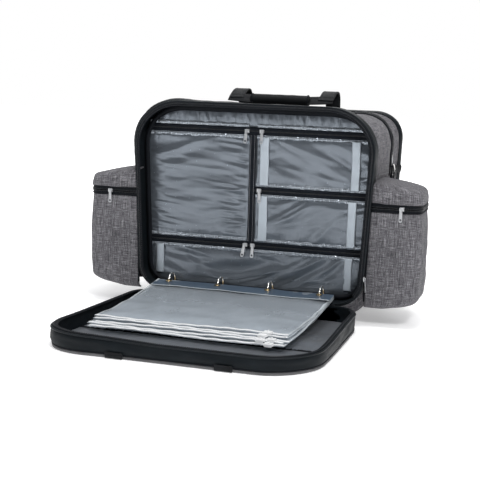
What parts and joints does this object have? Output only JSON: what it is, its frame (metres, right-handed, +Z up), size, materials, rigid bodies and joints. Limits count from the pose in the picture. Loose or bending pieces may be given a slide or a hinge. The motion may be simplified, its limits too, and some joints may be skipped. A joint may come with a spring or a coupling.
{
  "type": "flight bag",
  "caption": "Soft-sided shoulder bag with a drop-down zipped front, satin organiser, clear pouches on binder rings, zipped side pockets and a top compartment.",
  "frame": {"origin": "centre of the body's base face, on the floor", "axes": "+X to the right seen from the front, -Y out of the front, +Z up"},
  "size_m": [0.588, 0.5753, 0.3763],
  "materials": {
    "heather": "matt cross-dyed weave",
    "black_fabric": "matt coated fabric",
    "zip_tape": "matt woven tape",
    "lining": "shiny satin",
    "flap_lining": "shiny satin",
    "webbing": "ribbed webbing",
    "grip": "padded fabric",
    "nickel": "polished",
    "steel": "satin",
    "slider_metal": "satin",
    "clear_vinyl": "frosted clear film",
    "header_strip": "satin film",
    "white_plastic": "satin"
  },
  "bodies": {
    "bag": {"main_shell": "heather", "rear_trim": "black_fabric", "base_panel": "black_fabric", "front_gusset": "black_fabric", "front_zip_tape": "zip_tape", "hinge_roll": "black_fabric", "organiser_panel": "lining", "pocket_top": "lining", "pocket_left": "lining", "pocket_upper_right": "lining", "pocket_lower_right": "lining", "pocket_bottom": "lining", "zip_band_top": "zip_tape", "zip_band_low": "zip_tape", "zip_band_right": "zip_tape", "upright_binding": "zip_tape", "ring_plate": "steel", "binder_rings": "nickel", "side_pocket_left": "heather", "side_pocket_right": "heather", "strap_tab_left": "webbing", "strap_tab_right": "webbing"},
    "flap": {"flap_panel": "heather", "flap_gusset": "black_fabric", "flap_zip_tape": "zip_tape", "flap_pocket_near": "flap_lining", "flap_pocket_far": "flap_lining", "front_handle_tabs": "webbing"},
    "front_handle": {"front_handle_web": "webbing", "front_handle_grip": "grip"},
    "cover": {"cover_shell": "heather", "cover_trim": "black_fabric", "rear_handle_tabs": "webbing"},
    "rear_handle": {"rear_handle_web": "webbing", "rear_handle_grip": "grip"},
    "pouches": {"pouch_1": "clear_vinyl", "pouch_2": "clear_vinyl", "pouch_3": "clear_vinyl", "pouch_4": "clear_vinyl", "pouch_5": "clear_vinyl", "pouch_header": "header_strip"},
    "lid_left": {"pocket_lid_left": "heather"},
    "lid_right": {"pocket_lid_right": "heather"},
    "ring_left": {"strap_ring_left": "nickel"},
    "ring_right": {"strap_ring_right": "nickel"},
    "slider_top_left": {"slider_top_left": "slider_metal"},
    "slider_top_right": {"slider_top_right": "slider_metal"},
    "slider_right": {"slider_right": "slider_metal"},
    "slider_low_left": {"slider_low_left": "slider_metal"},
    "slider_low_right": {"slider_low_right": "slider_metal"},
    "main_slider": {"main_slider": "slider_metal"},
    "lid_slider_left": {"lid_slider_left": "slider_metal"},
    "lid_slider_right": {"lid_slider_right": "slider_metal"},
    "flap_slider": {"flap_slider": "slider_metal"},
    "pouch_slider_1": {"pouch_slider_1": "white_plastic"},
    "pouch_slider_2": {"pouch_slider_2": "white_plastic"},
    "pouch_slider_3": {"pouch_slider_3": "white_plastic"},
    "pouch_slider_4": {"pouch_slider_4": "white_plastic"},
    "pouch_slider_5": {"pouch_slider_5": "white_plastic"}
  },
  "joints": [
    {"name": "flap_turn", "type": "hinge", "parent": "bag", "child": "flap", "pos_m": [0, -0.118, 0.036], "axis": [-1, 0, 0], "range_deg": [0, 90]},
    {"name": "pouch_turn", "type": "hinge", "parent": "bag", "child": "pouches", "pos_m": [0, -0.1005, 0.048], "axis": [-1, 0, 0], "range_deg": [0, 90]},
    {"name": "cover_turn", "type": "hinge", "parent": "bag", "child": "cover", "pos_m": [0, 0.118, 0.2623], "axis": [-1, 0, 0], "range_deg": [0, 60]},
    {"name": "front_handle_turn", "type": "hinge", "parent": "flap", "child": "front_handle", "pos_m": [0, -0.418, 0.0018], "axis": [-1, 0, 0], "range_deg": [0, 170]},
    {"name": "rear_handle_turn", "type": "hinge", "parent": "cover", "child": "rear_handle", "pos_m": [0, 0.1192, 0.3638], "axis": [-1, 0, 0], "range_deg": [0, 180]},
    {"name": "lid_left_turn", "type": "hinge", "parent": "bag", "child": "lid_left", "pos_m": [-0.21361, -0.045, 0.25], "axis": [0, 1, 0], "range_deg": [0, 85]},
    {"name": "lid_right_turn", "type": "hinge", "parent": "bag", "child": "lid_right", "pos_m": [0.21361, -0.045, 0.25], "axis": [0, -1, 0], "range_deg": [0, 85]},
    {"name": "ring_left_turn", "type": "hinge", "parent": "bag", "child": "ring_left", "pos_m": [-0.21777, 0.055, 0.248], "axis": [0, -1, 0], "range_deg": [0, 150]},
    {"name": "ring_right_turn", "type": "hinge", "parent": "bag", "child": "ring_right", "pos_m": [0.21777, 0.055, 0.248], "axis": [0, 1, 0], "range_deg": [0, 150]},
    {"name": "slider_top_left_slide", "type": "slide", "parent": "bag", "child": "slider_top_left", "axis": [-1, 0, 0], "range_m": [0, 0.17]},
    {"name": "slider_top_right_slide", "type": "slide", "parent": "bag", "child": "slider_top_right", "axis": [1, 0, 0], "range_m": [0, 0.18]},
    {"name": "slider_right_slide", "type": "slide", "parent": "bag", "child": "slider_right", "axis": [1, 0, 0], "range_m": [0, 0.18]},
    {"name": "slider_low_left_slide", "type": "slide", "parent": "bag", "child": "slider_low_left", "axis": [-1, 0, 0], "range_m": [0, 0.165]},
    {"name": "slider_low_right_slide", "type": "slide", "parent": "bag", "child": "slider_low_right", "axis": [1, 0, 0], "range_m": [0, 0.178]},
    {"name": "main_slider_slide", "type": "slide", "parent": "bag", "child": "main_slider", "axis": [-0.0336, 0, -0.9994], "range_m": [0, 0.018]},
    {"name": "lid_slider_left_slide", "type": "slide", "parent": "bag", "child": "lid_slider_left", "axis": [1, 0, 0], "range_m": [0, 0.038]},
    {"name": "lid_slider_right_slide", "type": "slide", "parent": "bag", "child": "lid_slider_right", "axis": [-1, 0, 0], "range_m": [0, 0.038]},
    {"name": "flap_slider_slide", "type": "slide", "parent": "bag", "child": "flap_slider", "axis": [0.0481, 0, 0.9988], "range_m": [0, 0.18]},
    {"name": "pouch_slider_1_slide", "type": "slide", "parent": "pouches", "child": "pouch_slider_1", "axis": [-1, 0, 0], "range_m": [0, 0.25]},
    {"name": "pouch_slider_2_slide", "type": "slide", "parent": "pouches", "child": "pouch_slider_2", "axis": [-1, 0, 0], "range_m": [0, 0.25]},
    {"name": "pouch_slider_3_slide", "type": "slide", "parent": "pouches", "child": "pouch_slider_3", "axis": [-1, 0, 0], "range_m": [0, 0.25]},
    {"name": "pouch_slider_4_slide", "type": "slide", "parent": "pouches", "child": "pouch_slider_4", "axis": [-1, 0, 0], "range_m": [0, 0.25]},
    {"name": "pouch_slider_5_slide", "type": "slide", "parent": "pouches", "child": "pouch_slider_5", "axis": [-1, 0, 0], "range_m": [0, 0.25]}
  ],
  "couplings": [
    {"joint": "pouch_turn", "follows": "flap_turn", "ratio": 1}
  ]
}
